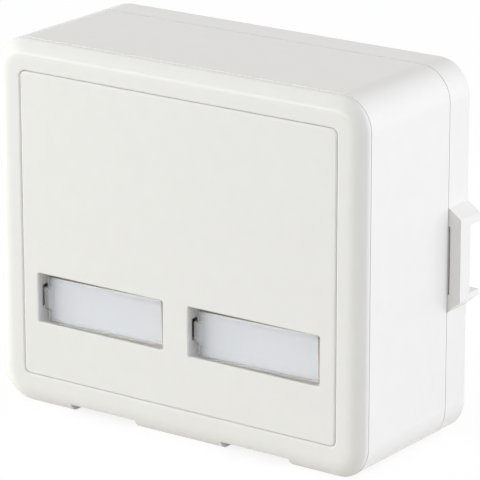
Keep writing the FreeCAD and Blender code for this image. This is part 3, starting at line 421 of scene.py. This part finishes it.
def window_corners(side):
    """The low and the high corner of a window without its tab, each as x, y and z.

    Its face lies WINDOW_SUNK behind the panel's front, and its back where the plain window's is.
    """
    (x0, _, z0), (x1, back_y, z1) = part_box(f"label_lens_{side}")
    front_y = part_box("front_panel")[0][1] + WINDOW_SUNK
    low_x = x0 - CAD_WINDOW_GAP + WINDOW_LEFT_GAP
    high_x = x1 + CAD_WINDOW_GAP - WINDOW_RIGHT_GAP
    low_z = z0 - CAD_WINDOW_GAP + WINDOW_HEIGHT_GAP
    high_z = z1 + CAD_WINDOW_GAP - WINDOW_HEIGHT_GAP
    return (low_x, front_y, low_z), (high_x, back_y, high_z)


for side in SIDES:
    lengths = [(end - start) / MM for start, end in zip(*window_corners(side))]
    print(f"{side}:", " x ".join(f"{length:.2f}" for length in lengths), "mm without its tab")

# %% [markdown]
# ## The windows' face
#
# Each window is a bevelled plate, with its widest bevel at the right end and a small tab at its
# left end that reaches towards the slot. Cutting a plate out of a block with bevels would do it.
# Here one depth over a grid gives it all: the face falls away by whichever bevel is deepest at that
# point, and the grid's left side steps out for the tab.

# %% The windows' face
BEVEL_DEPTH = 0.35 * MM
LEFT_BEVEL = 0.5 * MM
RIGHT_BEVEL = 1.6 * MM
HIGH_BEVEL = 0.4 * MM
TAB_REACH = 1.05 * MM
TAB_HALF = 2.05 * MM  # half of its height
TAB_SUNK = 0.5 * MM  # its face behind the window's
GRID_STEP = 0.1 * MM


def window_face(low, high):
    """Points of the window's face between its corners low and high, as grids of x, fall and z.

    A row runs from its left end to high x, and rows within TAB_HALF of the middle start TAB_REACH
    further left. The bevel of a side falls by BEVEL_DEPTH (1 - d / width) at d from that side, the
    tab falls by TAB_SUNK, and each point takes the greatest fall.
    """
    (low_x, _, low_z), (high_x, _, high_z) = low, high
    columns = round((high_x - low_x) / GRID_STEP) + 1
    rows = round((high_z - low_z) / GRID_STEP) + 1
    share, z = np.meshgrid(np.linspace(0, 1, columns), np.linspace(low_z, high_z, rows))
    in_tab = np.abs(z - (low_z + high_z) / 2) < TAB_HALF
    start = low_x - TAB_REACH * in_tab
    x = start + share * (high_x - start)
    bevels = [(x - low_x, LEFT_BEVEL), (high_x - x, RIGHT_BEVEL), (high_z - z, HIGH_BEVEL)]
    falls = [BEVEL_DEPTH * np.clip(1 - distance / width, 0, 1) for distance, width in bevels]
    tab = TAB_SUNK * (x < low_x)
    return x, np.maximum.reduce([*falls, tab]), z


face_x, face_fall, _ = window_face(*window_corners("left"))
print("face:", face_x.shape, "points, deepest", round(face_fall.max() / MM, 2), "mm")

# %% [markdown]
# ## A closed plate
#
# The face needs walls and a flat back to be a real piece of plastic that light passes through. A
# Solidify modifier would give the back the face's own bevels. So the back is made here: the rim of
# the face is repeated in one plane behind it, walls join the two rims, and one face closes the
# back.

# %% A closed plate
def closed_plate(x, y, z, back_y):
    """Points, face quads, wall quads and back polygon of a plate with a grid of points as its face.

    The rim is the grid's outer points in turn: low row, right column, high row, left column. Wall i
    joins the rim's edge from point i to point i + 1 to the same edge at back_y. The back runs round
    the other way, so that it points backwards.
    """
    index = np.arange(x.size).reshape(x.shape)
    corners = (index[:-1, :-1], index[:-1, 1:], index[1:, 1:], index[1:, :-1])
    face = np.stack([corner.ravel() for corner in corners], axis=1)
    rim = np.concatenate([index[0, :-1], index[:-1, -1], index[-1, :0:-1], index[:0:-1, 0]])
    back = x.size + np.arange(len(rim))
    walls = np.stack([rim, back, np.roll(back, -1), np.roll(rim, -1)], axis=1)
    points = np.stack([x.ravel(), y.ravel(), z.ravel()], axis=1)
    behind = points[rim]
    behind[:, 1] = back_y
    return np.concatenate([points, behind]), face, walls, back[::-1]


trial_x, trial_z = np.meshgrid([0.0, 1.0], [0.0, 1.0])
trial_points, _, trial_walls, _ = closed_plate(trial_x, np.zeros((2, 2)), trial_z, 1.0)
print("a plate on four points has", len(trial_points), "corners and", len(trial_walls), "walls")

# %% [markdown]
# ## The windows
#
# A window lies loose, so it sits a little aslant: the gap under it grows to the right. The turn is
# in the mesh, not in the object, because a finished piece stands unturned at the origin. The walls
# are the matt edge with its painted shade, so they have a material of their own. The frame's plain
# windows stay as they are for the motion, and these pieces stand for them in the picture.

# %% Windows
WINDOW_SLANT = math.radians(0.9)


def window_mesh(side):
    """A window's mesh: a closed plate turned by WINDOW_SLANT about the middle of its face."""
    low, high = window_corners(side)
    x, fall, z = window_face(low, high)
    points, face, walls, back = closed_plate(x, low[1] + fall, z, high[1])
    middle = np.array([(low[0] + high[0]) / 2, 0, (low[2] + high[2]) / 2])
    turn = np.array(Matrix.Rotation(-WINDOW_SLANT, 3, "Y"))
    points = (points - middle) @ turn.T + middle
    size = points.max(axis=0) - points.min(axis=0)
    print(f"label_window_{side}:", " x ".join(f"{length / MM:.2f}" for length in size), "mm")
    mesh = bpy.data.meshes.new(f"label_window_{side}")
    mesh.from_pydata(points.tolist(), [], [*face.tolist(), *walls.tolist(), back.tolist()])
    slots = np.zeros(len(mesh.polygons), dtype=np.int32)
    # the walls take the second material, the matt edge with its painted shade
    slots[len(face) : len(face) + len(walls)] = 1
    for material in (window_clear, edge_painted_shade):
        mesh.materials.append(material)
    mesh.polygons.foreach_set("material_index", slots)
    mesh.update()
    return mesh


for side in SIDES:
    window = new_object(f"label_window_{side}", window_mesh(side))
    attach(window, f"lens_{side}")
    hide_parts(f"label_lens_{side}")

# %% [markdown]
# ## Plated metal
#
# The contact wires and the blades of the terminal block are bronze, plated so that they don't
# tarnish: gold over the wires, tin over the blades. Plating over drawn wire or rolled strip keeps
# fine marks along its length. They are a noise stretched along the vertical, and they change the
# roughness, not the colour, as they do on the real metal.

# %% Plated metal
MARK_LENGTH = 1 * MM
MARK_WIDTH = 0.125 * MM
MARK_GLOSS = 0.06


def plated_metal(name, color, roughness):
    """Plated metal: fine upright marks move its roughness by up to MARK_GLOSS either way."""
    material, tree, output = new_material(name)
    place = add(tree, "TexCoord").outputs["Object"]
    across = MARK_LENGTH / MARK_WIDTH
    stretched = add(tree, "Mapping", {"Vector": place, "Scale": (across, across, 1.0)})
    upright = {"Vector": stretched.outputs["Vector"], "Scale": 1 / MARK_LENGTH}
    marks = add(tree, "TexNoise", {**upright, "Detail": 3.0})
    span = {**NOISE_SPAN, "To Min": roughness - MARK_GLOSS, "To Max": roughness + MARK_GLOSS}
    gloss = add(tree, "MapRange", {"Value": marks.outputs["Fac"], **span}).outputs["Result"]
    look = {"Base Color": linear(color), "Metallic": 1.0, "Roughness": gloss}
    surface = add(tree, "BsdfPrincipled", look)
    tree.links.new(surface.outputs["BSDF"], output.inputs["Surface"])
    return material


contact_gold = plated_metal("gold_plate", "#d9b25c", roughness=0.22)
blade_tin = plated_metal("tin_plate", "#c9c9c4", roughness=0.35)
print("metals:", contact_gold.name, blade_tin.name)

# %% [markdown]
# ## The jacks
#
# Two snap-in jacks show through the ports from below, through the cable entry from behind, and when
# the cover is off. Their housings and caps are white polycarbonate, the carrier that holds the
# contact wires is black nylon, the terminal block is white nylon, and the board is glass epoxy
# under a green solder mask. They are moulded or coated smooth, so the function for moulded plastic
# serves them all, each with its own colour and roughness. Each piece takes the finish that its real
# one has.

# %% Jacks
jack_plastic = moulded_plastic("white_polycarbonate", "#dedddb", roughness=0.32, ior=1.58)
carrier_plastic = moulded_plastic("black_nylon", "#242426", roughness=0.5)
terminal_plastic = moulded_plastic("white_nylon", "#d9d8d2", roughness=0.45)
board_laminate = moulded_plastic("green_solder_mask", "#1d5b34", roughness=0.3)
jack_finishes = {
    "jack_housing": jack_plastic,
    "contact_carrier": carrier_plastic,
    "contact_wires": contact_gold,
    "circuit_board": board_laminate,
    "terminal_block": terminal_plastic,
    "terminal_blades": blade_tin,
    "terminal_cap": jack_plastic,
}
for kind, finish in jack_finishes.items():
    for side in SIDES:
        give_finish(f"{kind}_{side}", finish)

# %% [markdown]
# ## The floor
#
# The box stands on a white paper roll. To the camera, and in whatever mirrors it, the paper is
# white, with a faint shadow round the box. More light on it would make it white too, but that light
# would wash the box out. So it glows by itself for most of its look, and a small share of it is
# shaded. To soft light it is a warm light grey, so less light comes back up from it and the
# undersides stay as dark as they are in the photograph.

# %% Floor
FLOOR_REACH = 1.5  # metres
FLOOR_GLOW = 0.8  # share of its look that glows
GLOW_STRENGTH = 1.06  # over 1, because the shaded share is darker than white


def seen_directly(tree):
    """1 for a ray from the camera and for one that a glossy or clear surface sends on, else 0."""
    path = add(tree, "LightPath").outputs
    seen = path["Is Camera Ray"]
    for kind in ("Is Glossy Ray", "Is Transmission Ray"):
        seen = add(tree, "Math", {0: seen, 1: path[kind]}, operation="MAXIMUM").outputs["Value"]
    return seen


def paper_roll(name):
    """White paper that glows where it is seen directly, by FLOOR_GLOW of its look."""
    material, tree, output = new_material(name)
    shaded = add(tree, "BsdfDiffuse", {"Color": linear("#fafafa")}).outputs["BSDF"]
    glow = {"Color": linear("#ffffff"), "Strength": GLOW_STRENGTH}
    white = add(tree, "Emission", glow).outputs["Emission"]
    shown = add(tree, "MixShader", {0: FLOOR_GLOW, 1: shaded, 2: white}).outputs["Shader"]
    dull = add(tree, "BsdfDiffuse", {"Color": linear("#d6d2ca")}).outputs["BSDF"]
    both = add(tree, "MixShader", {0: seen_directly(tree), 1: dull, 2: shown})
    tree.links.new(both.outputs["Shader"], output.inputs["Surface"])
    return material


def studio_floor():
    """A square of FLOOR_REACH each way from the origin, at the box's lowest point."""
    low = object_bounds()[0][2]
    corners = np.array([(-1, -1, 0), (1, -1, 0), (1, 1, 0), (-1, 1, 0)]) * FLOOR_REACH
    mesh = bpy.data.meshes.new("floor")
    mesh.from_pydata((corners + (0, 0, low)).tolist(), [], [(0, 1, 2, 3)])
    mesh.materials.append(paper_roll("white_paper_roll"))
    floor = new_object("floor", mesh)
    print("floor lies at", round(low, 4))


studio_floor()

# %% [markdown]
# ## The white studio
#
# The world round the box is white to the camera and in mirrors, like the floor. As a light it is
# weaker, and the lamps bring the rest, because light that comes evenly from all round would flatten
# the rounded edges.

# %% World
WORLD_LEVEL = 0.35


def studio_world():
    """A world of WORLD_LEVEL as a light, and of 1, plain white, where it is seen directly."""
    world = bpy.data.worlds.new("white_studio")
    bpy.context.scene.world = world
    world.use_nodes = True
    tree = world.node_tree
    tree.nodes.clear()
    output = add(tree, "OutputWorld")
    lit = add(tree, "Background", {"Color": linear("#ffffff"), "Strength": WORLD_LEVEL})
    white = add(tree, "Background", {"Color": linear("#ffffff"), "Strength": 1.0})
    either = {0: seen_directly(tree), 1: lit.outputs["Background"], 2: white.outputs["Background"]}
    both = add(tree, "MixShader", either)
    tree.links.new(both.outputs["Shader"], output.inputs["Surface"])


studio_world()
print("the world lights the box at a level of", WORLD_LEVEL)

# %% [markdown]
# ## Lamps
#
# The photograph's light is soft. The side wall is its lightest face and slightly cool, and the
# round beside it is the darkest, so a wide cool lamp stands square on the right. The left border is
# lighter than the middle, so a second lamp stands low at the left. A small warm one high on the
# right lifts the upper corner, and one behind lights the wall side, which the photograph doesn't
# show. The glossy rounds in the photograph mirror none of these, so they are hidden from mirror
# images. They do show one bright band, just above the panel. A faint low lamp at the front left is
# the only one that is mirrored, and it draws that band.

# %% Lamps
LAMP_DISTANCE = 1.0


def soft_box(name, direction, level, width, height, color, mirrored=False):
    """A rectangular lamp LAMP_DISTANCE from the case's middle, in a direction, turned towards it.

    A lamp of P watts at d metres lights a surface that faces it at a level of P / (pi d)^2, where
    level 1 is that of a white world of strength 1. Only a mirrored lamp shows in glossy plastic.
    """
    data = bpy.data.lights.new(name, "AREA")
    data.shape = "RECTANGLE"
    data.size = width
    data.size_y = height
    data.energy = level * (math.pi * LAMP_DISTANCE) ** 2
    data.color = linear(color)[:3]
    lamp = new_object(name, data)
    away = Vector(direction).normalized()
    lamp.location = CASE_MIDDLE + away * LAMP_DISTANCE
    lamp.rotation_euler = away.to_track_quat("Z", "Y").to_euler()
    lamp.visible_glossy = mirrored
    print(f"{name}: level {level}, {width} x {height} m")


soft_box("right_lamp", (1.0, 0.0, 0.3), level=0.86, width=2.0, height=0.6, color="#e6edff")
soft_box("left_lamp", (-0.9, -0.45, 0.2), level=0.89, width=0.6, height=0.4, color="#fcffff")
soft_box(
    "front_lamp",
    (-0.56, -0.82, 0.09),
    level=0.085,
    width=0.9,
    height=0.14,
    color="#fffff6",
    mirrored=True,
)
soft_box("top_lamp", (0.75, 0.2, 0.75), level=0.14, width=0.4, height=0.4, color="#fff0d8")
soft_box("back_lamp", (0.35, 1.0, 0.1), level=0.36, width=0.8, height=0.5, color="#ffffff")
